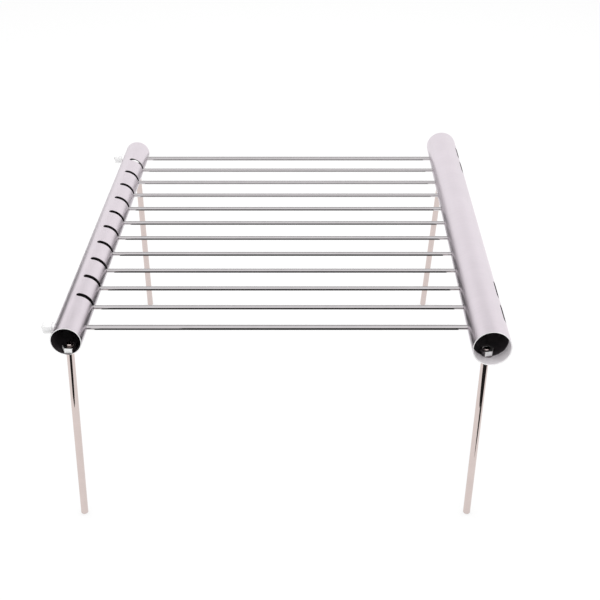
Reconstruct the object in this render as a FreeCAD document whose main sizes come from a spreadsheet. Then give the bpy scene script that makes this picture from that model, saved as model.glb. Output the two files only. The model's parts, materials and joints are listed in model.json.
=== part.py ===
# Camp grill that stands on four screwed-in rod legs and comes apart into straight pieces.
# Two tubes lie front to back (along Y), the large one on the right (+X).
# Two tie rods hold them apart, ten loose bars lie between the tie rods.
# Millimetres, +Z up, origin at the middle of the footprint on the ground.
import FreeCAD, Part
import Sketcher
import math
import os

Vector = FreeCAD.Vector
Rotation = FreeCAD.Rotation
Placement = FreeCAD.Placement
x_axis = Vector(1, 0, 0)
y_axis = Vector(0, 1, 0)
z_axis = Vector(0, 0, 1)

# ---------------------------------------------------------------- driving dimensions

driving = {
    # side tubes
    "tube_spacing": 321.3,
    "axis_height": 174.8,
    "wall": 0.8,
    "small_diameter": 24.0,
    "small_length": 366.0,
    "small_middle": -4.7,
    "large_diameter": 30.0,
    "large_length": 395.0,
    "rim_round": 0.3,
    # row of twelve bars, its middle a little in front of the large tube's middle
    "bar_pitch": 30.0,
    "loose_bar_count": 10,
    "row_middle": -2.3,
    # loose bars, their round holes and the open slots they drop into
    "bar_diameter": 3.5,
    "bar_end_chamfer": 0.5,
    "bar_end_small": 1.6,
    "bar_end_large": 5.0,
    "bar_hole_diameter": 4.5,
    "slot_width": 4.6,
    "slot_start": -0.6,
    "slot_bottom": 1.85,
    # tie rods, with a thinner threaded end past each shoulder
    "tie_diameter": 4.0,
    "tie_thread_diameter": 3.0,
    "tie_hole_diameter": 3.2,
    "tie_thread_proud": 1.0,
    "tie_thread_chamfer": 0.3,
    "shoulder_gap": 0.02,
    # thumb nuts outside the small tube
    "thumb_neck_diameter": 6.5,
    "thumb_neck_length": 1.9,
    "thumb_head_diameter": 9.5,
    "thumb_head_length": 7.3,
    "thumb_bore_diameter": 3.15,
    "thumb_seat_gap": 0.15,
    "thumb_chamfer": 0.5,
    "knurl_count": 24,
    "knurl_diameter": 0.9,
    # weld nuts inside the tubes
    "tie_nut_flats": 5.5,
    "tie_nut_height": 2.4,
    "tie_nut_bore": 3.12,
    "tie_nut_proud": 1.2,
    "leg_nut_flats": 10.0,
    "leg_nut_height": 5.0,
    "leg_nut_bore": 5.54,
    "leg_nut_turn_left": -2.0,
    "leg_nut_turn_right": 14.0,
    "nut_wall_gap": 0.02,
    # legs, which stand a little inwards of their tubes and lean in their holes, the foot towards -X
    "leg_diameter": 6.0,
    "leg_length_left": 170.5,
    "leg_length_right": 166.0,
    "leg_thread_diameter": 5.4,
    "leg_shoulder_drop": 0.4,
    "leg_hole_diameter": 6.2,
    "leg_inset": 1.6,
    "leg_before_near_tie": 15.4,
    "leg_before_far_tie": 4.5,
    "leg_tip_round": 1.2,
    "leg_top_chamfer": 0.6,
    "lean_near_left": 2.65,
    "lean_near_right": 1.25,
    "lean_far_left": 0.1,
    "lean_far_right": 4.1,
    # narrow windows along the outer side of the large tube
    "window_length": 25.0,
    "window_width": 5.0,
    "window_angle": 28.0,
    "window_inner": 122.5,
    "window_outer": 159.0,
}

d = dict(driving)


def leg_reach(lean):
    """Distance from the tube's axis to the foot's end so that the foot just meets the ground."""
    tilt = math.radians(lean)
    flat_radius = d["leg_diameter"] / 2 - d["leg_tip_round"]
    below = d["leg_tip_round"] + flat_radius * math.sin(tilt)
    return (d["axis_height"] - below) / math.cos(tilt) + d["leg_tip_round"]


# ---------------------------------------------------------------- derived dimensions

thumb_length = d["thumb_neck_length"] + d["thumb_head_length"]
rod_stands_out = d["thumb_seat_gap"] + thumb_length + d["tie_thread_proud"]
overall_width = rod_stands_out + d["small_diameter"] / 2 + d["tube_spacing"] + d["large_diameter"] / 2
tie_row = (d["loose_bar_count"] + 1) * d["bar_pitch"] / 2

derived = {
    "small_radius": d["small_diameter"] / 2,
    "small_bore": d["small_diameter"] / 2 - d["wall"],
    "large_radius": d["large_diameter"] / 2,
    "large_bore": d["large_diameter"] / 2 - d["wall"],
    "large_x": overall_width / 2 - d["large_diameter"] / 2,
    "small_x": overall_width / 2 - d["large_diameter"] / 2 - d["tube_spacing"],
    "rod_stands_out": rod_stands_out,
    "tie_row": tie_row,
    "leg_row_near": -tie_row - d["leg_before_near_tie"],
    "leg_row_far": tie_row - d["leg_before_far_tie"],
    "first_bar": (d["loose_bar_count"] - 1) * d["bar_pitch"] / 2,
}
for side in ("near_left", "near_right", "far_left", "far_right"):
    derived["reach_" + side] = leg_reach(d["lean_" + side])
d.update(derived)

# ---------------------------------------------------------------- document and sheet

doc = FreeCAD.newDocument("camp_grill")
sheet = doc.addObject("Spreadsheet::Sheet", "Sizes")
for row, (name, value) in enumerate(d.items(), start=1):
    sheet.set("A%d" % row, name)
    sheet.set("B%d" % row, repr(value))
    sheet.setAlias("B%d" % row, name)
doc.recompute()

nodes = []

# ---------------------------------------------------------------- helpers


def bind(item, path, formula):
    item.setExpression(path, formula)


def place(item, x="0", y="0", z="0", turn="0", axis=y_axis):
    """Binds an object's place, and its turn about one axis, to the sheet."""
    item.Placement = Placement(Vector(0, 0, 0), Rotation(axis, 1))
    for letter, formula in (("x", x), ("y", y), ("z", z)):
        bind(item, "Placement.Base." + letter, formula)
    bind(item, "Placement.Rotation.Angle", turn)


def new_body(label):
    body = doc.addObject("PartDesign::Body", label)
    body.Label = label
    nodes.append(body)
    return body


def origin_item(body, role):
    return [item for item in body.Origin.OriginFeatures if item.Role == role][0]


def new_sketch(body, name, role, offset="0", turn="0"):
    """Sketch on one origin plane, moved along its normal and turned about its own X axis."""
    sketch = body.newObject("Sketcher::SketchObject", name)
    sketch.AttachmentSupport = [(origin_item(body, role), "")]
    sketch.MapMode = "FlatFace"
    sketch.AttachmentOffset = Placement(Vector(0, 0, 0), Rotation(x_axis, 1))
    bind(sketch, "AttachmentOffset.Base.z", offset)
    bind(sketch, "AttachmentOffset.Rotation.Angle", turn)
    return sketch


def value_of(sketch, formula):
    return float(sketch.evalExpression(formula))


def size_rule(sketch, formula, *rule):
    """Adds one dimension, always positive, and binds it to the sheet."""
    index = sketch.addConstraint(Sketcher.Constraint(*rule, value_of(sketch, formula)))
    bind(sketch, "Constraints[%d]" % index, formula)


def pin_point(sketch, shape, end, across, up):
    """Holds one point of the drawing at two distances from the sketch's origin."""
    for formula, kind, axis_line in ((across, "DistanceX", -2), (up, "DistanceY", -1)):
        value = value_of(sketch, formula)
        if abs(value) < 1e-9:
            sketch.addConstraint(Sketcher.Constraint("PointOnObject", shape, end, axis_line))
        elif value > 0:
            size_rule(sketch, formula, kind, -1, 1, shape, end)
        else:
            size_rule(sketch, "-(%s)" % formula, kind, shape, end, -1, 1)


def draw_circle(sketch, diameter, across="0", up="0"):
    centre = Vector(value_of(sketch, across), value_of(sketch, up), 0)
    radius = value_of(sketch, diameter) / 2
    index = sketch.addGeometry(Part.Circle(centre, z_axis, radius), False)
    size_rule(sketch, diameter, "Diameter", index)
    pin_point(sketch, index, 3, across, up)


def draw_polygon(sketch, corners):
    """Closed outline through corners given as pairs of formulas."""
    points = [Vector(value_of(sketch, across), value_of(sketch, up), 0) for across, up in corners]
    count = len(points)
    lines = []
    for number in range(count):
        following = points[(number + 1) % count]
        lines.append(sketch.addGeometry(Part.LineSegment(points[number], following), False))
    for number in range(count):
        following = lines[(number + 1) % count]
        sketch.addConstraint(Sketcher.Constraint("Coincident", lines[number], 2, following, 1))
    for number, (across, up) in enumerate(corners):
        pin_point(sketch, lines[number], 1, across, up)


def draw_slot(sketch, width, start, end, upright):
    """Slot with round ends between two centres, upright or lying along the sketch's X axis."""
    radius = value_of(sketch, width) / 2
    first = Vector(value_of(sketch, start[0]), value_of(sketch, start[1]), 0)
    last = Vector(value_of(sketch, end[0]), value_of(sketch, end[1]), 0)
    side = x_axis * radius if upright else y_axis * -radius
    begin_angle = math.pi if upright else math.pi / 2
    circle_first = Part.Circle(first, z_axis, radius)
    circle_last = Part.Circle(last, z_axis, radius)
    arc_first = sketch.addGeometry(Part.ArcOfCircle(circle_first, begin_angle, begin_angle + math.pi), False)
    arc_last = sketch.addGeometry(Part.ArcOfCircle(circle_last, begin_angle - math.pi, begin_angle), False)
    line_out = sketch.addGeometry(Part.LineSegment(first + side, last + side), False)
    line_back = sketch.addGeometry(Part.LineSegment(last - side, first - side), False)
    sketch.addConstraint(Sketcher.Constraint("Tangent", arc_first, 2, line_out, 1))
    sketch.addConstraint(Sketcher.Constraint("Tangent", line_out, 2, arc_last, 1))
    sketch.addConstraint(Sketcher.Constraint("Tangent", arc_last, 2, line_back, 1))
    sketch.addConstraint(Sketcher.Constraint("Tangent", line_back, 2, arc_first, 1))
    size_rule(sketch, width + " / 2", "Radius", arc_first)
    pin_point(sketch, arc_first, 3, start[0], start[1])
    pin_point(sketch, arc_last, 3, end[0], end[1])


def pad(body, name, sketch, length, side_type="One side", reverse=False):
    feature = body.newObject("PartDesign::Pad", name)
    feature.Profile = sketch
    feature.SideType = side_type
    feature.Reversed = reverse
    bind(feature, "Length", length)
    doc.recompute()
    return feature


def pocket(body, name, sketch, length, side_type="One side", reverse=False):
    """Cuts to a depth and stops the build if nothing was removed."""
    before = body.Shape.Volume
    feature = body.newObject("PartDesign::Pocket", name)
    feature.Profile = sketch
    feature.SideType = side_type
    feature.Reversed = reverse
    bind(feature, "Length", length)
    doc.recompute()
    if body.Shape.Volume > before - 0.01:
        raise RuntimeError(name + " cuts nothing")
    return feature


def repeat_along_y(body, name, features, span, count):
    pattern = body.newObject("PartDesign::LinearPattern", name)
    pattern.Originals = features
    pattern.Direction = (origin_item(body, "Y_Axis"), [""])
    bind(pattern, "Length", span)
    bind(pattern, "Occurrences", count)
    body.Tip = pattern
    doc.recompute()
    return pattern


def edge_names(shape, wanted):
    """Names of the edges for which wanted(edge) is true."""
    return ["Edge%d" % (number + 1) for number, edge in enumerate(shape.Edges) if wanted(edge)]


def round_edges(body, name, wanted, radius):
    base = body.Tip
    feature = body.newObject("PartDesign::Fillet", name)
    feature.Base = (base, edge_names(base.Shape, wanted))
    bind(feature, "Radius", radius)
    doc.recompute()


def chamfer_edges(body, name, wanted, size):
    base = body.Tip
    feature = body.newObject("PartDesign::Chamfer", name)
    feature.Base = (base, edge_names(base.Shape, wanted))
    bind(feature, "Size", size)
    doc.recompute()


def circle_at(axis_name, position, radius=None):
    """Test for a full circle lying across an axis at a position, of a radius if one is given."""
    def wanted(edge):
        if not isinstance(edge.Curve, Part.Circle) or len(edge.Vertexes) > 1:
            return False
        if abs(getattr(edge.Curve.Center, axis_name) - position) > 0.01:
            return False
        return radius is None or abs(edge.Curve.Radius - radius) < 0.01
    return wanted


# ---------------------------------------------------------------- side tubes


def make_tube(label, size, tube_x, row_y):
    """Plain tube along Y with softened rims, its middle at the origin of its body."""
    body = new_body(label)
    place(body, tube_x, row_y, "Sizes.axis_height")
    section = new_sketch(body, label + "_section", "XZ_Plane")
    draw_circle(section, "Sizes.%s_diameter" % size)
    draw_circle(section, "Sizes.%s_diameter - 2 * Sizes.wall" % size)
    pad(body, label + "_length", section, "Sizes.%s_length" % size, "Symmetric")
    end = d[size + "_length"] / 2

    def is_rim(edge):
        return circle_at("y", end)(edge) or circle_at("y", -end)(edge)

    round_edges(body, label + "_rims", is_rim, "Sizes.rim_round")
    return body


def leg_offset(end, side):
    """Formula for how far a leaning leg passes beside its tube's axis, inwards on both sides."""
    sign = {"left": "", "right": "-"}[side]
    return "%sSizes.leg_inset * cos(Sizes.lean_%s_%s)" % (sign, end, side)


def cut_leg_holes(body, tube, row_shift, side):
    """One hole through the bottom wall for each leg, each turned to its leg's lean."""
    for end in ("near", "far"):
        # the sketch's own X axis lies along the tube, so the turn swings the hole down to its lean
        lean = "Sizes.lean_%s_%s" % (end, side)
        sketch = new_sketch(body, "%s_leg_%s" % (tube, end), "YZ_Plane", turn="90 + " + lean)
        along = "Sizes.leg_row_%s%s" % (end, row_shift)
        draw_circle(sketch, "Sizes.leg_hole_diameter", along, leg_offset(end, side))
        pocket(body, "%s_leg_hole_%s" % (tube, end), sketch, "Sizes.%s_diameter" % tube, reverse=True)


def make_small_tube():
    body = make_tube("small_tube", "small", "Sizes.small_x", "Sizes.small_middle")
    shift = " + Sizes.row_middle - Sizes.small_middle"
    first = "-Sizes.first_bar" + shift
    # each slot runs from the tube's top round to just below the height of its axis
    side_cut = new_sketch(body, "slot_side", "YZ_Plane", "Sizes.slot_start + Sizes.slot_width / 2")
    low = "Sizes.slot_width / 2 - Sizes.slot_bottom"
    draw_slot(side_cut, "Sizes.slot_width", (first, low), (first, "Sizes.small_diameter"), True)
    side = pocket(body, "slot_open", side_cut, "Sizes.small_diameter", reverse=True)
    top_cut = new_sketch(body, "slot_top", "XY_Plane")
    draw_circle(top_cut, "Sizes.slot_width", "Sizes.slot_start + Sizes.slot_width / 2", first)
    top = pocket(body, "slot_end", top_cut, "Sizes.small_diameter", reverse=True)
    span = "Sizes.bar_pitch * (Sizes.loose_bar_count - 1)"
    repeat_along_y(body, "slots", [side, top], span, "Sizes.loose_bar_count")
    rods = new_sketch(body, "tie_points", "YZ_Plane")
    for sign in ("-", ""):
        draw_circle(rods, "Sizes.tie_hole_diameter", sign + "Sizes.tie_row" + shift)
    pocket(body, "tie_holes", rods, "2 * Sizes.small_diameter", "Symmetric")
    cut_leg_holes(body, "small", shift, "left")
    return body


def make_large_tube():
    body = make_tube("large_tube", "large", "Sizes.large_x", "0")
    shift = " + Sizes.row_middle"
    bar_point = new_sketch(body, "bar_point", "YZ_Plane")
    draw_circle(bar_point, "Sizes.bar_hole_diameter", "-Sizes.first_bar" + shift)
    hole = pocket(body, "bar_hole", bar_point, "Sizes.large_diameter")
    span = "Sizes.bar_pitch * (Sizes.loose_bar_count - 1)"
    repeat_along_y(body, "bar_holes", [hole], span, "Sizes.loose_bar_count")
    rods = new_sketch(body, "tie_points_large", "YZ_Plane")
    for sign in ("-", ""):
        draw_circle(rods, "Sizes.tie_hole_diameter", sign + "Sizes.tie_row" + shift)
    pocket(body, "tie_holes_large", rods, "Sizes.large_diameter")
    cut_leg_holes(body, "large", shift, "right")
    # windows on the outer side, turned up from the level of the axis
    windows = new_sketch(body, "window_shapes", "YZ_Plane", turn="-Sizes.window_angle")
    half = "(Sizes.window_length - Sizes.window_width) / 2"
    for centre in ("-Sizes.window_outer", "-Sizes.window_inner", "Sizes.window_inner", "Sizes.window_outer"):
        start = ("%s - %s" % (centre, half), "0")
        end = ("%s + %s" % (centre, half), "0")
        draw_slot(windows, "Sizes.window_width", start, end, False)
    pocket(body, "windows", windows, "Sizes.large_diameter", reverse=True)
    return body


# ---------------------------------------------------------------- rods, bars and legs


def make_tie_rod(label, row_y):
    """Rod along X with a shoulder at each tube and a thinner threaded end beyond it."""
    body = new_body(label)
    place(body, "Sizes.small_x", row_y, "Sizes.axis_height")
    # along the rod, measured from the small tube's axis
    left_end = "-(Sizes.small_radius + Sizes.rod_stands_out)"
    left_shoulder = "Sizes.small_radius + Sizes.shoulder_gap"
    right_shoulder = "Sizes.tube_spacing - Sizes.large_radius - Sizes.shoulder_gap"
    right_end = "Sizes.tube_spacing - Sizes.large_bore + Sizes.tie_nut_height + Sizes.tie_nut_proud"
    thread = "Sizes.tie_thread_diameter / 2"
    tip = thread + " - Sizes.tie_thread_chamfer"
    full = "Sizes.tie_diameter / 2"
    corners = [
        (left_end, "0"),
        (left_end, tip),
        (left_end + " + Sizes.tie_thread_chamfer", thread),
        (left_shoulder, thread),
        (left_shoulder, full),
        (right_shoulder, full),
        (right_shoulder, thread),
        (right_end + " - Sizes.tie_thread_chamfer", thread),
        (right_end, tip),
        (right_end, "0"),
    ]
    outline = new_sketch(body, label + "_outline", "XZ_Plane")
    draw_polygon(outline, corners)
    turned = body.newObject("PartDesign::Revolution", label + "_turned")
    turned.Profile = outline
    turned.ReferenceAxis = (outline, ["H_Axis"])
    turned.Angle = 360.0
    doc.recompute()
    return body


def make_grill_bar(number):
    """Loose bar along X, from just inside its slot to past the large tube's axis."""
    label = "grill_bar_%02d" % number
    body = new_body(label)
    row_y = "Sizes.row_middle - Sizes.first_bar + %d * Sizes.bar_pitch" % (number - 1)
    place(body, "Sizes.small_x + Sizes.bar_end_small", row_y, "Sizes.axis_height")
    section = new_sketch(body, label + "_section", "YZ_Plane")
    draw_circle(section, "Sizes.bar_diameter")
    length = "Sizes.tube_spacing - Sizes.bar_end_small + Sizes.bar_end_large"
    pad(body, label + "_length", section, length)
    chamfer_edges(body, label + "_ends", lambda edge: len(edge.Vertexes) == 1, "Sizes.bar_end_chamfer")
    return body


def make_leg(end, side, tube, leg_x, row_y):
    """Rod leg pointing down from the height of the tubes' axes, with a softened foot."""
    label = "leg_%s_%s" % (end, side)
    length = "Sizes.leg_length_" + side
    body = new_body(label)
    place(body, leg_x, row_y, "Sizes.axis_height", "Sizes.lean_%s_%s" % (end, side))
    reach = "Sizes.reach_%s_%s" % (end, side)
    section = new_sketch(body, label + "_section", "XY_Plane", "-(%s)" % reach)
    draw_circle(section, "Sizes.leg_diameter")
    # the shank stops just below the tube, the thinner threaded end goes on up through the nut
    shoulder = "(Sizes.%s_radius + Sizes.leg_shoulder_drop)" % tube
    pad(body, label + "_shank", section, "%s - %s" % (reach, shoulder))
    thread_base = new_sketch(body, label + "_thread_base", "XY_Plane", "-" + shoulder)
    draw_circle(thread_base, "Sizes.leg_thread_diameter")
    pad(body, label + "_thread", thread_base, "%s - %s + %s" % (length, reach, shoulder))
    foot = -d["reach_%s_%s" % (end, side)]
    top = foot + d["leg_length_" + side]
    round_edges(body, label + "_foot", circle_at("z", foot), "Sizes.leg_tip_round")
    chamfer_edges(body, label + "_end", circle_at("z", top), "Sizes.leg_top_chamfer")
    return body


# ---------------------------------------------------------------- nuts


def make_weld_nut(label, tube, kind, tube_x, row_y, turn, offset="0", nut_turn="0"):
    """Hexagon nut seated on a tube's inner wall, its foot following the curved wall.

    It is drawn pointing down, passing the tube's axis at the given offset, turned about
    itself by nut_turn, and then turned about the tube's axis into place.
    """
    flats = "Sizes.%s_nut_flats" % kind
    height = "Sizes.%s_nut_height" % kind
    hexagon = doc.addObject("Part::Prism", label + "_hexagon")
    hexagon.Polygon = 6
    bind(hexagon, "Circumradius", flats + " / 2 / cos(30)")
    bind(hexagon, "Height", height + " + Sizes.wall")
    hexagon.Placement = Placement(Vector(0, 0, 0), Rotation(z_axis, 1))
    bind(hexagon, "Placement.Base.x", offset)
    bind(hexagon, "Placement.Base.z", "-(Sizes.%s_bore + Sizes.wall)" % tube)
    bind(hexagon, "Placement.Rotation.Angle", nut_turn)
    wall_limit = doc.addObject("Part::Cylinder", label + "_wall_limit")
    wall_limit.Placement = Placement(Vector(0, 0, 0), Rotation(x_axis, 90))
    bind(wall_limit, "Radius", "Sizes.%s_bore - Sizes.nut_wall_gap" % tube)
    bind(wall_limit, "Height", "2 * " + flats)
    bind(wall_limit, "Placement.Base.y", flats)
    seated = doc.addObject("Part::Common", label + "_seated")
    seated.Base = hexagon
    seated.Tool = wall_limit
    bore = doc.addObject("Part::Cylinder", label + "_bore")
    bore.Placement = Placement(Vector(0, 0, 0), Rotation(z_axis, 0))
    bind(bore, "Radius", "Sizes.%s_nut_bore / 2" % kind)
    bind(bore, "Height", "Sizes.large_diameter")
    bind(bore, "Placement.Base.x", offset)
    bind(bore, "Placement.Base.z", "-Sizes.large_diameter")
    nut = doc.addObject("Part::Cut", label)
    nut.Label = label
    nut.Base = seated
    nut.Tool = bore
    place(nut, tube_x, row_y, "Sizes.axis_height", turn)
    nodes.append(nut)
    doc.recompute()
    return nut


def make_thumb_nut(label, row_y):
    """Knurled thumb nut: a thin neck against the tube, then a grooved round head."""
    body = new_body(label)
    seat = "Sizes.small_x - Sizes.small_radius - Sizes.thumb_seat_gap"
    place(body, seat, row_y, "Sizes.axis_height")
    neck_shape = new_sketch(body, label + "_neck_shape", "YZ_Plane")
    draw_circle(neck_shape, "Sizes.thumb_neck_diameter")
    neck_length = "Sizes.thumb_neck_length"
    pad(body, label + "_neck", neck_shape, neck_length, reverse=True)
    head_shape = new_sketch(body, label + "_head_shape", "YZ_Plane", "-" + neck_length)
    draw_circle(head_shape, "Sizes.thumb_head_diameter")
    pad(body, label + "_head", head_shape, "Sizes.thumb_head_length", reverse=True)
    head_radius = d["thumb_head_diameter"] / 2

    def is_head_edge(edge):
        return isinstance(edge.Curve, Part.Circle) and abs(edge.Curve.Radius - head_radius) < 0.01

    chamfer_edges(body, label + "_head_edges", is_head_edge, "Sizes.thumb_chamfer")
    bore_shape = new_sketch(body, label + "_bore_shape", "YZ_Plane")
    draw_circle(bore_shape, "Sizes.thumb_bore_diameter")
    pocket(body, label + "_bore", bore_shape, "2 * Sizes.thumb_head_diameter")
    groove_shape = new_sketch(body, label + "_groove_shape", "YZ_Plane", "-" + neck_length)
    draw_circle(groove_shape, "Sizes.knurl_diameter", "Sizes.thumb_head_diameter / 2")
    groove = pocket(body, label + "_groove", groove_shape, "Sizes.thumb_head_length")
    knurl = body.newObject("PartDesign::PolarPattern", label + "_knurl")
    knurl.Originals = [groove]
    knurl.Axis = (origin_item(body, "X_Axis"), [""])
    knurl.Angle = 360.0
    bind(knurl, "Occurrences", "Sizes.knurl_count")
    body.Tip = knurl
    doc.recompute()
    return body


# ---------------------------------------------------------------- the grill

make_small_tube()
make_large_tube()
for end, sign in (("near", "-"), ("far", "+")):
    tie_y = "Sizes.row_middle %s Sizes.tie_row" % sign
    leg_y = "Sizes.row_middle + Sizes.leg_row_" + end
    make_tie_rod("tie_rod_" + end, tie_y)
    make_thumb_nut("thumb_nut_" + end, tie_y)
    make_weld_nut("tie_nut_" + end, "large", "tie", "Sizes.large_x", tie_y, "90")
    for side, tube, inwards in (("left", "small", "+"), ("right", "large", "-")):
        tube_x = "Sizes.%s_x" % tube
        make_leg(end, side, tube, "%s %s Sizes.leg_inset" % (tube_x, inwards), leg_y)
        lean = "Sizes.lean_%s_%s" % (end, side)
        make_weld_nut("leg_nut_%s_%s" % (end, side), tube, "leg", tube_x, leg_y, lean,
                      leg_offset(end, side), "Sizes.leg_nut_turn_" + side)
for number in range(1, int(d["loose_bar_count"]) + 1):
    make_grill_bar(number)
doc.recompute()

# ---------------------------------------------------------------- tests and export

for item in doc.Objects:
    if "Invalid" in item.State or "Error" in item.State:
        raise RuntimeError("%s failed: %s" % (item.Label, item.State))
for node in nodes:
    if node.Shape.isNull() or not node.Shape.isValid() or not node.Shape.Solids:
        raise RuntimeError(node.Label + " has no valid solid")

os.makedirs("parts", exist_ok=True)
for node in nodes:
    node.Shape.exportStep("parts/%s.step" % node.Label)
box = FreeCAD.BoundBox()
for node in nodes:
    box.add(node.Shape.BoundBox)
print("%d nodes" % len(nodes))
print("x %.2f to %.2f, y %.2f to %.2f, z %.2f to %.2f"
      % (box.XMin, box.XMax, box.YMin, box.YMax, box.ZMin, box.ZMax))
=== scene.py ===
import json
import math
import bpy
from mathutils import Matrix, Vector


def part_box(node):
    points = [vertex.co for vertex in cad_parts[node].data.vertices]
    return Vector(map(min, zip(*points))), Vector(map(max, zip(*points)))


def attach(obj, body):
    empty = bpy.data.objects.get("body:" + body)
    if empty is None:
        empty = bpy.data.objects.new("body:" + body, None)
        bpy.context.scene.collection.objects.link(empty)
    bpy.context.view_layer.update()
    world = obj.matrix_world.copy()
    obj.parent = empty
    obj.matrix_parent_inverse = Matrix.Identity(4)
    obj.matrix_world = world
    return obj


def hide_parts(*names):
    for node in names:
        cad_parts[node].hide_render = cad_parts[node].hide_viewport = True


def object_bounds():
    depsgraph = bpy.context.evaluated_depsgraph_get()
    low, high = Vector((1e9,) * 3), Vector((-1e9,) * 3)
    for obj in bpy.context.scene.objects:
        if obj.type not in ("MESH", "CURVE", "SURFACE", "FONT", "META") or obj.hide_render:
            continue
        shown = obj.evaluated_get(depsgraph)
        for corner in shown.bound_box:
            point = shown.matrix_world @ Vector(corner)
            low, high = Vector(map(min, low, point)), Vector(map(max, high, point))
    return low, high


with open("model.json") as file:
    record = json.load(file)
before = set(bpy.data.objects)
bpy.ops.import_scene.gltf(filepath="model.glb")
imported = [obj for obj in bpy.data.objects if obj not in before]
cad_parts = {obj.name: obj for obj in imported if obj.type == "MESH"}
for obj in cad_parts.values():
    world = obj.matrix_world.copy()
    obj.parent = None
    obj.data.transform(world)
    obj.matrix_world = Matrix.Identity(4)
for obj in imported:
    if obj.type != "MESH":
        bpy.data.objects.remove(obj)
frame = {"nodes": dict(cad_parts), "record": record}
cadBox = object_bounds()
nodes = frame["nodes"]
mm = 0.001
print("frame loaded:", len(nodes), "parts")


# ---- where things stand, read from the loaded parts

def middleOf(name):
    low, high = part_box(name)
    return (low + high) / 2


def tubeFacts(name, wall):
    low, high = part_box(name)
    outer = (high.x - low.x) / 2
    return {
        "name": name,
        "axis": Vector(((low.x + high.x) / 2, 0, high.z - outer)),
        "outer": outer,
        "bore": outer - wall,
        "middle": (low.y + high.y) / 2,
        "half": (high.y - low.y) / 2,
    }


tubeWall = 0.8 * mm
smallTube = tubeFacts("small_tube", tubeWall)
largeTube = tubeFacts("large_tube", tubeWall)
smallTube["axis"].z = largeTube["axis"].z  # slots cut the small tube's top, so its box is a little low
nearRow = middleOf("tie_rod_near").y
farRow = middleOf("tie_rod_far").y
legSpots = {}
for mount in frame["record"]["mounts"]:
    if mount["name"].startswith("leg_end_"):
        spot = mount["name"].replace("leg_end_", "")
        tube = smallTube if spot.endswith("left") else largeTube
        down = Vector(mount["axis"])
        point = Vector(mount["pos_m"])
        # where the leg's own line meets the height of the tubes' axes
        start = point + down * ((tube["axis"].z - point.z) / down.z)
        legSpots[spot] = {
            "tube": tube,
            "start": start,
            "down": down,
            "lean": math.atan2(-down.x, -down.z),
            "offset": (start.x - tube["axis"].x) * -down.z,
        }


# ---- small helpers for modelling by hand

def startClean():
    if bpy.context.object and bpy.context.object.mode != "OBJECT":
        bpy.ops.object.mode_set(mode="OBJECT")
    bpy.ops.object.select_all(action="DESELECT")


def pick(piece):
    startClean()
    piece.select_set(True)
    bpy.context.view_layer.objects.active = piece


def nameIt(name):
    piece = bpy.context.object
    piece.name = name
    piece.data.name = name
    return piece


def putDown(piece, matrix=None):
    # leaves the place in the mesh and the object at the origin
    pick(piece)
    if matrix is not None:
        piece.matrix_world = matrix @ piece.matrix_world
    bpy.ops.object.transform_apply(location=True, rotation=True, scale=True)


def applyModifiers(piece):
    pick(piece)
    for modifier in list(piece.modifiers):
        bpy.ops.object.modifier_apply(modifier=modifier.name)


def copyPiece(piece, name):
    twin = piece.copy()
    twin.data = piece.data.copy()
    twin.name = name
    twin.data.name = name
    bpy.context.scene.collection.objects.link(twin)
    return twin


def cutWith(piece, tool, operation):
    modifier = piece.modifiers.new("cut", "BOOLEAN")
    modifier.operation = operation
    modifier.solver = "EXACT"
    modifier.object = tool
    applyModifiers(piece)
    bpy.data.objects.remove(tool)


def smooth(piece, degrees):
    pick(piece)
    bpy.ops.object.shade_smooth_by_angle(angle=math.radians(degrees))


def faceOutwards(piece):
    pick(piece)
    bpy.ops.object.mode_set(mode="EDIT")
    bpy.ops.mesh.select_all(action="SELECT")
    bpy.ops.mesh.remove_doubles(threshold=0.001 * mm)
    bpy.ops.mesh.normals_make_consistent(inside=False)
    bpy.ops.object.mode_set(mode="OBJECT")


def selectEdges(piece, test):
    # in edit mode: selects only the edges that pass the test
    bpy.ops.mesh.select_mode(type="EDGE")
    bpy.ops.mesh.select_all(action="DESELECT")
    bpy.ops.object.mode_set(mode="OBJECT")
    for edge in piece.data.edges:
        edge.select = test(piece.data, edge)
    bpy.ops.object.mode_set(mode="EDIT")


# ---- materials

def linearColour(code):
    parts = [int(code[i:i + 2], 16) / 255 for i in (0, 2, 4)]
    return [c / 12.92 if c <= 0.04045 else ((c + 0.055) / 1.055) ** 2.4 for c in parts] + [1.0]


def addNode(material, kind, settings=None, **inputs):
    # inputs are values or the sockets that feed them; _ stands for a space, and in1 for the second input
    node = material.node_tree.nodes.new("ShaderNode" + kind)
    for name, value in (settings or {}).items():
        if name == "ramp":
            for stop, (place, colour) in zip(node.color_ramp.elements, value):
                stop.position = place
                stop.color = colour
        else:
            setattr(node, name, value)
    for name, value in inputs.items():
        key = int(name[2:]) if name.startswith("in") and name[2:].isdigit() else name.replace("_", " ")
        if isinstance(value, bpy.types.NodeSocket):
            material.node_tree.links.new(value, node.inputs[key])
        else:
            node.inputs[key].default_value = value
    return node


def darker(code, share):
    return [c * share for c in linearColour(code)[:3]] + [1]


def grey(level):
    return [level] * 3 + [1]


def newMaterial(name):
    material = bpy.data.materials.new(name)
    material.use_nodes = True
    shader = material.node_tree.nodes["Principled BSDF"]
    return material, shader


def feed(material, socket, target):
    material.node_tree.links.new(socket, target)


def paint(piece, material):
    if not piece.material_slots:
        piece.data.materials.append(material)
    for slot in piece.material_slots:
        slot.material = material


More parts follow.
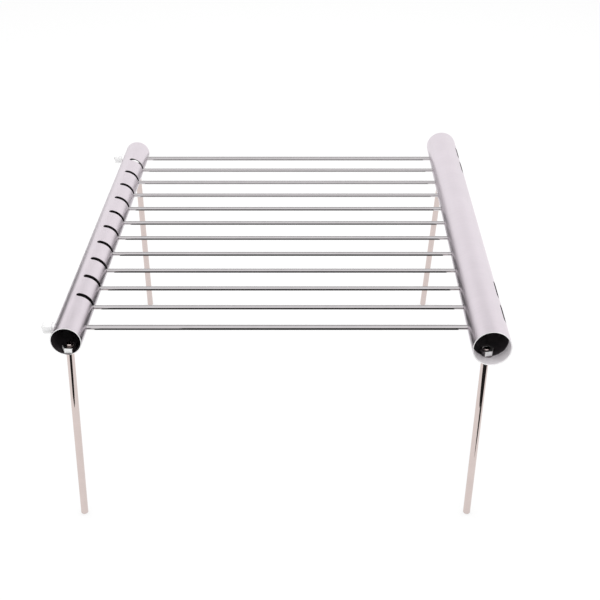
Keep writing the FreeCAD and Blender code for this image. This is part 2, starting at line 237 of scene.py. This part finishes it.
tubeLook = {
    "skin": "E9E0E7",          # satin polished stainless, a faint lavender cast
    "skinRough": (0.30, 0.38),
    "skinDepth": 0.12,         # mm of the wall that counts as polished skin
    "cutEdge": "FFFFFF",       # the sawn ends, wiped bright
    "slotEdge": "4A4548",      # the faces of punched holes and slots are drawn dark
    "edgeRough": 0.55,
    "inside": "4C464A",        # painted shade: dark for the shade deep in the bore; never polished after welding
    "insideDirt": "3A3538",
    "insideDepth": (0.05, 0.12),  # mm of the wall over which the painted shade of the inside fades out
    "insideShine": 0.35,
    "insideRough": 0.62,
    "band": "FAF6F9",          # painted light: pale ring inside each mouth of the large tube, where light falls in past the top rim
    "bandDepth": 11.5,         # mm
    "bandRagged": 0.9,         # mm that the ring's border wanders
    "bandFade": 0.7,           # mm
    "rimDepth": 1.0,           # mm of bright sawn edge at each end
    "rimFade": 0.2,            # mm
    "frosted": 0.15,           # how metallic the sawn rims and the pale ring of painted light look
    "polishSpacing": 0.9,      # mm; real belt marks are near 0.1 mm, drawn coarse enough to show
    "mottleSize": 22.0,        # mm
    "grimeSize": 6.0,          # mm
}
softStep = {"interpolation_type": "SMOOTHSTEP"}


def satinTubeSteel(name, tube, hasBand):
    # stainless tube, belt polished outside, dull inside and painted dark there as painted shade, bright where
    # it was sawn; the large tube also gets a pale ring of painted light inside each mouth
    look = tubeLook
    material, shader = newMaterial(name)
    coords = addNode(material, "TexCoord").outputs["Object"]
    place = addNode(material, "Mapping", Vector=coords,
                    Location=(-tube["axis"].x, -tube["middle"], -tube["axis"].z)).outputs["Vector"]
    flat = addNode(material, "Mapping", Vector=place, Scale=(1, 0, 1)).outputs["Vector"]
    radius = addNode(material, "VectorMath", {"operation": "LENGTH"}, in0=flat).outputs["Value"]
    skinEnd = tube["outer"] - look["skinDepth"] * mm
    skinMask = addNode(material, "MapRange", softStep, Value=radius,
                       From_Min=skinEnd - look["skinDepth"] * mm, From_Max=skinEnd).outputs["Result"]
    insideShadeFull, insideShadeStarts = [tube["bore"] + depth * mm for depth in look["insideDepth"]]
    insideMask = addNode(material, "MapRange", softStep, Value=radius,
                         From_Min=insideShadeStarts, From_Max=insideShadeFull).outputs["Result"]
    along = addNode(material, "SeparateXYZ", Vector=place).outputs["Y"]
    away = addNode(material, "Math", {"operation": "ABSOLUTE"}, in0=along).outputs["Value"]
    rimStart = tube["half"] - look["rimDepth"] * mm
    rimMask = addNode(material, "MapRange", softStep, Value=away,
                      From_Min=rimStart - look["rimFade"] * mm, From_Max=rimStart).outputs["Result"]

    # belt marks run round the tube, so the pattern changes only along it
    belt = addNode(material, "Mapping", Vector=place,
                   Scale=[k / (look["polishSpacing"] * mm) for k in (0.012, 1, 0.012)])
    beltNoise = addNode(material, "TexNoise", Vector=belt.outputs["Vector"], Scale=1, Detail=3, Roughness=0.6)
    mottle = addNode(material, "TexNoise", Vector=place, Scale=1000 / look["mottleSize"], Detail=4,
                     Roughness=0.55)
    grime = addNode(material, "TexNoise", Vector=place, Scale=1000 / look["grimeSize"], Detail=5,
                    Roughness=0.7)

    skinRamp = [(0.25, darker(look["skin"], 0.95)), (0.75, linearColour(look["skin"]))]
    skinTone = addNode(material, "ValToRGB", {"ramp": skinRamp}, Fac=mottle.outputs["Fac"])
    skinLines = addNode(material, "MapRange", Value=beltNoise.outputs["Fac"],
                        From_Min=0.3, From_Max=0.7, To_Min=0.965, To_Max=1.025)
    skin = addNode(material, "VectorMath", {"operation": "SCALE"}, in0=skinTone.outputs["Color"],
                   Scale=skinLines.outputs["Result"])

    # painted shade: the bore's two dark tones stand for the shade deep in the tube, and the grime noise
    # varies them at random
    insideRamp = [(0.35, linearColour(look["insideDirt"])), (0.7, linearColour(look["inside"]))]
    inside = addNode(material, "ValToRGB", {"ramp": insideRamp}, Fac=grime.outputs["Fac"]).outputs["Color"]
    insideShine = grey(look["insideShine"])
    if hasBand:
        # painted light: the pale ring is where light falls into the mouth, and its ragged border is the
        # painted edge of the top rim's shadow
        wobble = addNode(material, "MapRange", Value=grime.outputs["Fac"],
                         To_Min=-look["bandRagged"] * mm, To_Max=look["bandRagged"] * mm)
        ragged = addNode(material, "Math", {"operation": "ADD"}, in0=away, in1=wobble.outputs["Result"])
        start = tube["half"] - look["bandDepth"] * mm
        paintedLightMask = addNode(material, "MapRange", softStep, Value=ragged.outputs["Value"],
                           From_Min=start - look["bandFade"] * mm,
                           From_Max=start + look["bandFade"] * mm).outputs["Result"]
        inside = addNode(material, "MixRGB", Fac=paintedLightMask, Color1=inside,
                         Color2=linearColour(look["band"])).outputs["Color"]
        insideShine = addNode(material, "MapRange", Value=paintedLightMask, To_Min=look["insideShine"],
                              To_Max=look["frosted"]).outputs["Result"]
    edge = addNode(material, "MixRGB", Fac=rimMask, Color1=linearColour(look["slotEdge"]),
                   Color2=linearColour(look["cutEdge"]))
    tone = addNode(material, "MixRGB", Fac=skinMask, Color1=edge.outputs["Color"],
                   Color2=skin.outputs["Vector"])
    tone = addNode(material, "MixRGB", Fac=insideMask, Color1=tone.outputs["Color"], Color2=inside)
    feed(material, tone.outputs["Color"], shader.inputs["Base Color"])

    smoothest, roughest = look["skinRough"]
    polish = addNode(material, "MapRange", Value=beltNoise.outputs["Fac"],
                     From_Min=0.3, From_Max=0.7, To_Min=smoothest, To_Max=roughest).outputs["Result"]
    rough = addNode(material, "MixRGB", Fac=skinMask, Color1=grey(look["edgeRough"]), Color2=polish)
    rough = addNode(material, "MixRGB", Fac=insideMask, Color1=rough.outputs["Color"],
                    Color2=grey(look["insideRough"]))
    feed(material, rough.outputs["Color"], shader.inputs["Roughness"])
    # the sawn rims and the pale ring of painted light are frosted, so they are far less of a mirror than the
    # skin
    rimShine = addNode(material, "MapRange", Value=rimMask, To_Min=1.0,
                       To_Max=look["frosted"]).outputs["Result"]
    shine = addNode(material, "MixRGB", Fac=skinMask, Color1=rimShine, Color2=grey(1))
    shine = addNode(material, "MixRGB", Fac=insideMask, Color1=shine.outputs["Color"], Color2=insideShine)
    feed(material, shine.outputs["Color"], shader.inputs["Metallic"])
    lines = addNode(material, "Bump", Strength=0.06, Distance=0.05 * mm, Height=beltNoise.outputs["Fac"])
    scale = addNode(material, "Bump", Strength=0.06, Distance=0.1 * mm, Height=grime.outputs["Fac"],
                    Normal=lines.outputs["Normal"])
    feed(material, scale.outputs["Normal"], shader.inputs["Normal"])
    return material


rodLook = {
    "bar": {"tone": "CECACC", "roughness": 0.04, "along": 0, "spacing": 0.4},  # along X, marks in mm
    "leg": {"tone": "D6C8C4", "roughness": 0.05, "along": 2, "spacing": 0.5},  # along Z, a warmer steel
    "patchSize": 14.0,  # mm
}


def polishedRodSteel(name, tone, along, roughness, spacing):
    # bright drawn stainless rod, with faint draw marks along it and a little variation of polish
    material, shader = newMaterial(name)
    coords = addNode(material, "TexCoord").outputs["Object"]
    stretch = [1 / (spacing * mm)] * 3
    stretch[along] = 1 / (60 * spacing * mm)
    drawn = addNode(material, "Mapping", Vector=coords, Scale=stretch)
    marks = addNode(material, "TexNoise", Vector=drawn.outputs["Vector"], Scale=1, Detail=3, Roughness=0.6)
    patches = addNode(material, "TexNoise", Vector=coords, Scale=1000 / rodLook["patchSize"], Detail=4,
                      Roughness=0.6)
    toneRamp = [(0.3, darker(tone, 0.94)), (0.7, linearColour(tone))]
    colour = addNode(material, "ValToRGB", {"ramp": toneRamp}, Fac=patches.outputs["Fac"])
    feed(material, colour.outputs["Color"], shader.inputs["Base Color"])
    rough = addNode(material, "MapRange", Value=patches.outputs["Fac"], From_Min=0.3, From_Max=0.7,
                    To_Min=roughness * 0.8, To_Max=roughness * 1.25)
    feed(material, rough.outputs["Result"], shader.inputs["Roughness"])
    shader.inputs["Metallic"].default_value = 1.0
    bump = addNode(material, "Bump", Strength=0.012, Distance=0.01 * mm, Height=marks.outputs["Fac"])
    feed(material, bump.outputs["Normal"], shader.inputs["Normal"])
    return material


zincLook = {
    # the nut's dark second tone is painted shade and painted reflection on its top face and inner flank
    "nut": {"tone": "FFFFFF", "roughness": 0.42, "metallic": 0.15, "bareTone": "6A6668"},
    "thumb": {"tone": "FFFFFF", "roughness": 0.36, "metallic": 0.30},
    "bead": {"tone": "8F8A8C", "roughness": 0.45},
    "seam": {"tone": "9C969A", "roughness": 0.55, "metallic": 0.1},
    "grainSize": 0.5,  # mm, the crystals of the coat
    "cloudSize": 4.0,  # mm
}


def platedSteel(name, tone, roughness, metallic=1.0, bareTone=None, paintedShadeSide=0):
    # zinc plated steel and rough weld: a fine grain with a soft shine; a frosted coat counts as less metallic
    material, shader = newMaterial(name)
    coords = addNode(material, "TexCoord").outputs["Object"]
    grain = addNode(material, "TexNoise", Vector=coords, Scale=1000 / zincLook["grainSize"], Detail=4,
                    Roughness=0.65)
    cloud = addNode(material, "TexNoise", Vector=coords, Scale=1000 / zincLook["cloudSize"], Detail=3)
    toneRamp = [(0.3, darker(tone, 0.88)), (0.65, linearColour(tone))]
    coat = addNode(material, "ValToRGB", {"ramp": toneRamp}, Fac=cloud.outputs["Fac"]).outputs["Color"]
    if bareTone:
        # painted shade and painted reflection: the top face, and the flank towards the grill's middle, are
        # painted darker and more of a mirror by the way each face points
        facing = addNode(material, "SeparateXYZ", Vector=addNode(material, "NewGeometry").outputs["Normal"])
        flank = addNode(material, "Math", {"operation": "MULTIPLY"}, in0=facing.outputs["X"], in1=paintedShadeSide)
        paintedShadeTop = addNode(material, "MapRange", softStep, Value=facing.outputs["Z"],
                          From_Min=0.55, From_Max=0.85)
        paintedShadeFlank = addNode(material, "MapRange", softStep, Value=flank.outputs["Value"],
                            From_Min=0.35, From_Max=0.60)
        paintedShadeMask = addNode(material, "Math", {"operation": "MAXIMUM"}, in0=paintedShadeTop.outputs["Result"],
                       in1=paintedShadeFlank.outputs["Result"]).outputs["Value"]
        coat = addNode(material, "MixRGB", Fac=paintedShadeMask, Color1=coat,
                       Color2=linearColour(bareTone)).outputs["Color"]
        shine = addNode(material, "MapRange", Value=paintedShadeMask, To_Min=metallic, To_Max=1.0).outputs["Result"]
        feed(material, shine, shader.inputs["Metallic"])
    feed(material, coat, shader.inputs["Base Color"])
    rough = addNode(material, "MapRange", Value=grain.outputs["Fac"], From_Min=0.3, From_Max=0.7,
                    To_Min=roughness - 0.07, To_Max=roughness + 0.07)
    feed(material, rough.outputs["Result"], shader.inputs["Roughness"])
    shader.inputs["Metallic"].default_value = metallic
    bump = addNode(material, "Bump", Strength=0.12, Distance=0.03 * mm, Height=grain.outputs["Fac"])
    feed(material, bump.outputs["Normal"], shader.inputs["Normal"])
    return material


smallTubeSteel = satinTubeSteel("satin_stainless_small_tube", smallTube, False)
largeTubeSteel = satinTubeSteel("satin_stainless_large_tube", largeTube, True)
barSteel = polishedRodSteel("polished_stainless_rod", **rodLook["bar"])
legSteel = polishedRodSteel("bright_drawn_leg_rod", **rodLook["leg"])
# the flank with painted shade points to the middle of the grill, to +X in the left nuts and to -X in the
# right ones; the two are shaded copies of one material
nutZinc = {
    "left": platedSteel("zinc_plated_nut_left", **zincLook["nut"], paintedShadeSide=1.0),
    "right": platedSteel("zinc_plated_nut_right", **zincLook["nut"], paintedShadeSide=-1.0),
}
thumbZinc = platedSteel("zinc_plated_thumb_nut", **zincLook["thumb"])
weldMetal = platedSteel("stainless_weld_bead", **zincLook["bead"])
seamMetal = platedSteel("dull_weld_seam", **zincLook["seam"])

paint(nodes["small_tube"], smallTubeSteel)
paint(nodes["large_tube"], largeTubeSteel)
for name, node in nodes.items():
    if name.startswith("grill_bar_") or name.startswith("tie_rod_"):
        paint(node, barSteel)
    elif name.startswith("leg_nut_") or name.startswith("tie_nut_"):
        paint(node, nutZinc["left" if name.endswith("left") else "right"])
    elif name.startswith("thumb_nut_"):
        paint(node, thumbZinc)
    elif name.startswith("leg_"):
        paint(node, legSteel)
print("materials done:", len(bpy.data.materials))


# ---- weld nuts inside the tubes, drawn pointing down from the tube's axis

# mm, and degrees for the turns about the nut's own axis
legNutLook = {"flats": 10.0, "height": 5.0, "hole": 5.9, "corner": 0.5, "edge": 0.18, "bead": 0.6,
              "turnLeft": -2.0, "turnRight": 14.0}
tieNutLook = {"flats": 5.5, "height": 2.4, "hole": 3.1, "corner": 0.35, "edge": 0.12, "bead": 0.5}
beadLook = {"gap": 0.35, "rise": 0.45, "lumpSize": 1.3, "lumpHeight": 0.5}


def trimToWall(piece, toolName, radius, length):
    # keeps what lies inside a round bar of that radius along the tube's axis
    startClean()
    bpy.ops.mesh.primitive_cylinder_add(vertices=160, radius=radius, depth=length,
                                        rotation=(math.radians(90), 0, 0))
    cutWith(piece, nameIt(toolName), "INTERSECT")


def makeWeldNut(name, look, tube, offset=0.0, turn=0.0):
    across = look["flats"] * mm / 2 / math.cos(math.radians(30))
    height = look["height"] * mm
    foot = -tube["bore"]
    hexSink = 1.0 * mm  # both blanks reach into the wall and are trimmed to it further down
    roundSink = 1.4 * mm
    startClean()
    bpy.ops.mesh.primitive_cylinder_add(vertices=6, radius=across, depth=height + hexSink,
                                        location=(offset, 0, foot + (height - hexSink) / 2),
                                        rotation=(0, 0, math.radians(30 + turn)))
    nut = nameIt(name)
    putDown(nut)

    # a round blank with a bevelled top takes the hexagon's corners down, as turning does
    startClean()
    bpy.ops.mesh.primitive_cylinder_add(vertices=48, radius=across * 1.001, depth=height + roundSink,
                                        location=(offset, 0, foot + (height - roundSink) / 2))
    blank = nameIt("nut_blank")
    putDown(blank)
    bpy.ops.object.mode_set(mode="EDIT")
    top = foot + height
    selectEdges(blank, lambda mesh, edge: all(abs(mesh.vertices[v].co.z - top) < 1e-6 for v in edge.vertices))
    bpy.ops.mesh.bevel(offset=look["corner"] * mm, segments=1, affect="EDGES")
    bpy.ops.object.mode_set(mode="OBJECT")
    cutWith(nut, blank, "INTERSECT")

    startClean()
    bpy.ops.mesh.primitive_cylinder_add(vertices=40, radius=look["hole"] * mm / 2, depth=4 * height,
                                        location=(offset, 0, foot))
    cutWith(nut, nameIt("nut_drill"), "DIFFERENCE")

    trimToWall(nut, "nut_wall", tube["bore"] - 0.015 * mm, 4 * across)
    edges = nut.modifiers.new("edges", "BEVEL")
    edges.width = look["edge"] * mm
    edges.segments = 2
    edges.angle_limit = math.radians(28)
    applyModifiers(nut)
    faceOutwards(nut)
    smooth(nut, 40)
    return nut


def makeWeldBead(name, look, tube, offset=0.0):
    # the ring of weld that holds the nut, lumpy, its underside cut to the tube's wall
    ring = (look["flats"] / 2 + beadLook["gap"]) * mm
    foot = -tube["bore"]
    startClean()
    bpy.ops.mesh.primitive_torus_add(major_segments=96, minor_segments=16, major_radius=ring,
                                     minor_radius=look["bead"] * mm,
                                     location=(offset, 0, foot + beadLook["rise"] * mm))
    bead = nameIt(name)
    putDown(bead)
    lumps = bpy.data.textures.new(name + "_lumps", "CLOUDS")
    lumps.noise_scale = beadLook["lumpSize"] * mm
    lumps.noise_depth = 2
    swell = bead.modifiers.new("lumps", "DISPLACE")
    swell.texture = lumps
    swell.texture_coords = "LOCAL"
    swell.strength = beadLook["lumpHeight"] * mm
    applyModifiers(bead)
    trimToWall(bead, "bead_wall", tube["bore"] + 0.02 * mm, 6 * ring)
    faceOutwards(bead)
    smooth(bead, 60)
    return bead


def intoPlace(tube, y, turn):
    return Matrix.Translation(Vector((tube["axis"].x, y, tube["axis"].z))) @ Matrix.Rotation(turn, 4, "Y")


legNuts = {}
legBeads = {}
for side, tube, turn in (("left", smallTube, "turnLeft"), ("right", largeTube, "turnRight")):
    offset = legSpots["near_" + side]["offset"]
    legNuts[side] = makeWeldNut("leg_weld_nut_" + side, legNutLook, tube, offset, legNutLook[turn])
    legBeads[side] = makeWeldBead("leg_weld_" + side, legNutLook, tube, offset)
for spot, leg in legSpots.items():
    side = spot.split("_")[1]
    where = intoPlace(leg["tube"], leg["start"].y, leg["lean"])
    nut = copyPiece(legNuts[side], "weld_nut_" + spot)
    putDown(nut, where)
    paint(nut, nutZinc[side])
    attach(nut, "frame")
    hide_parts("leg_nut_" + spot)
    bead = copyPiece(legBeads[side], "weld_bead_" + spot)
    putDown(bead, where)
    paint(bead, weldMetal)
    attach(bead, "frame")
for piece in list(legNuts.values()) + list(legBeads.values()):
    bpy.data.objects.remove(piece)

tieNut = makeWeldNut("tie_weld_nut", tieNutLook, largeTube)
tieBead = makeWeldBead("tie_weld", tieNutLook, largeTube)
for end, row in (("near", nearRow), ("far", farRow)):
    where = intoPlace(largeTube, row, math.radians(90))
    nut = copyPiece(tieNut, "tie_weld_nut_" + end)
    putDown(nut, where)
    paint(nut, nutZinc["right"])
    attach(nut, "frame")
    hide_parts("tie_nut_" + end)
    bead = copyPiece(tieBead, "tie_weld_bead_" + end)
    putDown(bead, where)
    paint(bead, weldMetal)
    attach(bead, "frame")
bpy.data.objects.remove(tieNut)
bpy.data.objects.remove(tieBead)
print("weld nuts done")


# ---- thread ridges wound on the plain cores

# mm; the core sits just inside the plain rod, and below is how far under the leg's top the ridge stops
legThread = {"core": 2.68, "crest": 2.92, "pitch": 1.0, "length": 5.6, "below": 0.6, "ridgeShare": 0.82}


def makeThread(name, look):
    # a three-cornered section stood beside the axis and screwed upwards
    depth = (look["crest"] - look["core"]) * mm
    startClean()
    bpy.ops.mesh.primitive_circle_add(vertices=3, radius=1, fill_type="NGON")
    ridge = nameIt(name)
    ridge.rotation_euler = (math.radians(90), 0, 0)
    putDown(ridge)
    bpy.ops.object.mode_set(mode="EDIT")
    bpy.ops.mesh.select_all(action="SELECT")
    bpy.ops.transform.rotate(value=math.radians(-90), orient_axis="Y", center_override=(0, 0, 0))
    bpy.ops.object.mode_set(mode="OBJECT")
    low = min(v.co.x for v in ridge.data.vertices)
    high = max(v.co.x for v in ridge.data.vertices)
    tall = max(v.co.z for v in ridge.data.vertices) - min(v.co.z for v in ridge.data.vertices)
    ridge.matrix_world = (Matrix.Translation(Vector((look["core"] * mm, 0, 0)))
                          @ Matrix.Diagonal((depth / (high - low), 1,
                                             look["ridgeShare"] * look["pitch"] * mm / tall, 1))
                          @ Matrix.Translation(Vector((-low, 0, 0))))
    putDown(ridge)
    wound = ridge.modifiers.new("wound", "SCREW")
    wound.axis = "Z"
    wound.screw_offset = look["pitch"] * mm
    wound.iterations = int(look["length"] / look["pitch"]) - 1
    wound.steps = 28
    wound.render_steps = 28
    applyModifiers(ridge)
    bpy.ops.object.mode_set(mode="EDIT")
    bpy.ops.mesh.select_mode(type="EDGE")
    bpy.ops.mesh.select_all(action="DESELECT")
    bpy.ops.mesh.select_non_manifold()
    bpy.ops.mesh.fill_holes(sides=0)
    bpy.ops.object.mode_set(mode="OBJECT")
    faceOutwards(ridge)
    smooth(ridge, 45)
    return ridge


legRidge = makeThread("leg_thread", legThread)
for spot, leg in legSpots.items():
    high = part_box("leg_" + spot)[1]
    top = leg["start"]
    along = (high.z - top.z) / -leg["down"].z
    start = top - leg["down"] * (along - (legThread["length"] + legThread["below"]) * mm)
    ridge = copyPiece(legRidge, "leg_thread_" + spot)
    putDown(ridge, Matrix.Translation(start) @ Matrix.Rotation(leg["lean"], 4, "Y"))
    paint(ridge, legSteel)
    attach(ridge, "leg_" + spot)
bpy.data.objects.remove(legRidge)
print("threads done")


# ---- weld seams inside the tubes

# mm, degrees for the turn from straight up, and the number of cuts along the seam
seamLook = {"width": 1.5, "proud": 0.28, "endGap": 0.6, "corner": 0.3, "ripple": 0.24, "rippleSize": 2.2,
            "turn": 12.0, "cuts": 300}


def runsAlong(mesh, edge):
    # one of the seam's long edges
    start, end = (mesh.vertices[v].co for v in edge.vertices)
    return abs(start.y - end.y) > 0.1


def makeSeam(tube):
    length = 2 * (tube["half"] - seamLook["endGap"] * mm)
    startClean()
    bpy.ops.mesh.primitive_cube_add(size=1, location=(0, tube["middle"], tube["bore"] - 0.1 * mm),
                                    scale=(seamLook["width"] * mm, length, 2 * seamLook["proud"] * mm))
    seam = nameIt("weld_seam_" + tube["name"])
    putDown(seam)
    bpy.ops.object.mode_set(mode="EDIT")
    low = min(v.co.z for v in seam.data.vertices)
    selectEdges(seam, lambda mesh, edge: runsAlong(mesh, edge)
                and all(mesh.vertices[v].co.z < low + 1e-6 for v in edge.vertices))
    bpy.ops.mesh.bevel(offset=seamLook["corner"] * mm, segments=3, affect="EDGES")
    selectEdges(seam, runsAlong)
    bpy.ops.mesh.subdivide(number_cuts=seamLook["cuts"])
    bpy.ops.object.mode_set(mode="OBJECT")
    ripples = bpy.data.textures.new("seam_ripples", "CLOUDS")
    ripples.noise_scale = seamLook["rippleSize"] * mm
    swell = seam.modifiers.new("ripples", "DISPLACE")
    swell.texture = ripples
    swell.texture_coords = "LOCAL"
    swell.strength = seamLook["ripple"] * mm
    applyModifiers(seam)
    putDown(seam, intoPlace(tube, 0, -math.radians(seamLook["turn"])))
    faceOutwards(seam)
    smooth(seam, 50)
    paint(seam, seamMetal)
    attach(seam, "frame")


makeSeam(smallTube)
makeSeam(largeTube)
print("weld seams done")


# ---- floor, light and camera

roomLook = {
    "floorTone": "F2F2F2",
    "floorSize": 8,        # m
    "shadow": 0.25,        # share of the real floor that shows through the white
    "skyGlow": 0.75,       # how strongly the sky lights the grill
    "lampSize": 1.8,       # m
    "lampHeight": 1.7,     # m
    "lampPower": 26.0,     # W
}


def seenDirectly(material):
    # 1 for what the eye sees, straight or in metal and glass, 0 for what only sheds light
    rays = addNode(material, "LightPath")
    seen = addNode(material, "Math", {"operation": "MAXIMUM"}, in0=rays.outputs["Is Camera Ray"],
                   in1=rays.outputs["Is Glossy Ray"])
    return addNode(material, "Math", {"operation": "MAXIMUM"}, in0=seen.outputs["Value"],
                   in1=rays.outputs["Is Transmission Ray"]).outputs["Value"]


def whiteWorld():
    world = bpy.data.worlds.new("pale_studio")
    bpy.context.scene.world = world
    world.use_nodes = True
    back = world.node_tree.nodes["Background"]
    glow = addNode(world, "MapRange", Value=seenDirectly(world), To_Min=roomLook["skyGlow"], To_Max=1.0)
    back.inputs["Color"].default_value = (1, 1, 1, 1)
    feed(world, glow.outputs["Result"], back.inputs["Strength"])


def makeFloor():
    startClean()
    bpy.ops.mesh.primitive_plane_add(size=roomLook["floorSize"], location=(0, 0, cadBox[0].z - 0.05 * mm))
    floor = nameIt("pale_floor")
    putDown(floor)
    material, shader = newMaterial("matt_white_floor")
    shader.inputs["Base Color"].default_value = linearColour(roomLook["floorTone"])
    shader.inputs["Roughness"].default_value = 0.9
    share = addNode(material, "Math", {"operation": "MULTIPLY"}, in0=seenDirectly(material),
                    in1=1 - roomLook["shadow"])
    white = addNode(material, "Emission", Color=(1, 1, 1, 1), Strength=1.0)
    both = addNode(material, "MixShader", Fac=share.outputs["Value"], in1=shader.outputs["BSDF"],
                   in2=white.outputs["Emission"])
    feed(material, both.outputs["Shader"], material.node_tree.nodes["Material Output"].inputs["Surface"])
    paint(floor, material)


def addLamp(name, place, aim, size, power):
    lamp = bpy.data.lights.new(name, "AREA")
    lamp.shape = "SQUARE"
    lamp.size = size
    lamp.energy = power
    holder = bpy.data.objects.new(name, lamp)
    holder.location = place
    holder.rotation_euler = (Vector(aim) - Vector(place)).to_track_quat("-Z", "Y").to_euler()
    holder.visible_glossy = False  # the pale room already shows in the metal; a lamp would be too bright
    bpy.context.scene.collection.objects.link(holder)


def addCard(name, low, high, tone):
    # a studio card that only reflections show; flat in the one direction where low and high agree
    startClean()
    bpy.ops.mesh.primitive_cube_add(size=1, location=(Vector(low) + Vector(high)) / 2,
                                    scale=[max(b - a, 1 * mm) for a, b in zip(low, high)])
    card = nameIt(name)
    putDown(card)
    material, shader = newMaterial(name + "_cloth")
    shader.inputs["Base Color"].default_value = linearColour(tone)
    shader.inputs["Roughness"].default_value = 1.0
    paint(card, material)
    card.visible_camera = False
    card.visible_diffuse = False
    card.visible_shadow = False
    card.visible_transmission = False


onFloor = 0.004
underBars = smallTube["axis"].z - 6.8 * mm  # close under the bars, above all that the legs mirror
cardLeft = -0.140
cardRight = 0.143
# low corner, high corner and tone of each card; places in metres
studioCards = {
    "front_card": ((-0.25, -0.90, onFloor), (0.60, -0.335, onFloor), "020202"),
    "right_front_card": ((0.19, -0.335, onFloor), (0.60, -0.25, onFloor), "020202"),
    "front_flag": ((-0.17, -0.90, onFloor), (0.60, -0.90, 0.20), "050505"),
    "under_near_rod": ((cardLeft, -0.200, underBars), (cardRight, -0.150, underBars), "020202"),
    "under_near_bars": ((cardLeft, -0.150, underBars), (cardRight, -0.03, underBars), "242424"),
    "under_middle_bars": ((cardLeft, -0.03, underBars), (cardRight, 0.06, underBars), "6A6A6A"),
    "under_far_bars": ((cardLeft, 0.06, underBars), (cardRight, 0.20, underBars), "A8A8A8"),
    "left_flag": ((-0.72, -0.9, onFloor), (-0.72, 0.85, 0.44), "0A0A0A"),
    "top_card": ((-0.60, 0.25, 1.20), (0.60, 0.95, 1.20), "8C8C8C"),
}

whiteWorld()
makeFloor()
for name, (low, high, tone) in studioCards.items():
    addCard(name, low, high, tone)
addLamp("overhead_softbox", (0, 0.1, roomLook["lampHeight"]), (0, 0, 0.1), roomLook["lampSize"],
        roomLook["lampPower"])

# lens and sensor in mm, tilt in degrees; the three distances are mm from the small tube and the near tie rod
cameraLook = {"lens": 63.0, "sensor": 36, "tilt": 59.267, "shift": -0.0354,
              "fromSmallTube": 193.25, "fromNearRod": -686.4, "above": 432.7}
camera = bpy.data.cameras.new("camera")
camera.lens = cameraLook["lens"]
camera.sensor_width = cameraLook["sensor"]
camera.shift_x = cameraLook["shift"]
camera.clip_start = 0.01
camera.clip_end = 50
cameraHolder = bpy.data.objects.new("camera", camera)
cameraHolder.location = (smallTube["axis"].x + cameraLook["fromSmallTube"] * mm,
                         nearRow + cameraLook["fromNearRod"] * mm,
                         smallTube["axis"].z + cameraLook["above"] * mm)
cameraHolder.rotation_euler = (math.radians(cameraLook["tilt"]), 0, 0)
bpy.context.scene.collection.objects.link(cameraHolder)
bpy.context.scene.camera = cameraHolder
bpy.context.scene.view_settings.view_transform = "Standard"
print("stage done")
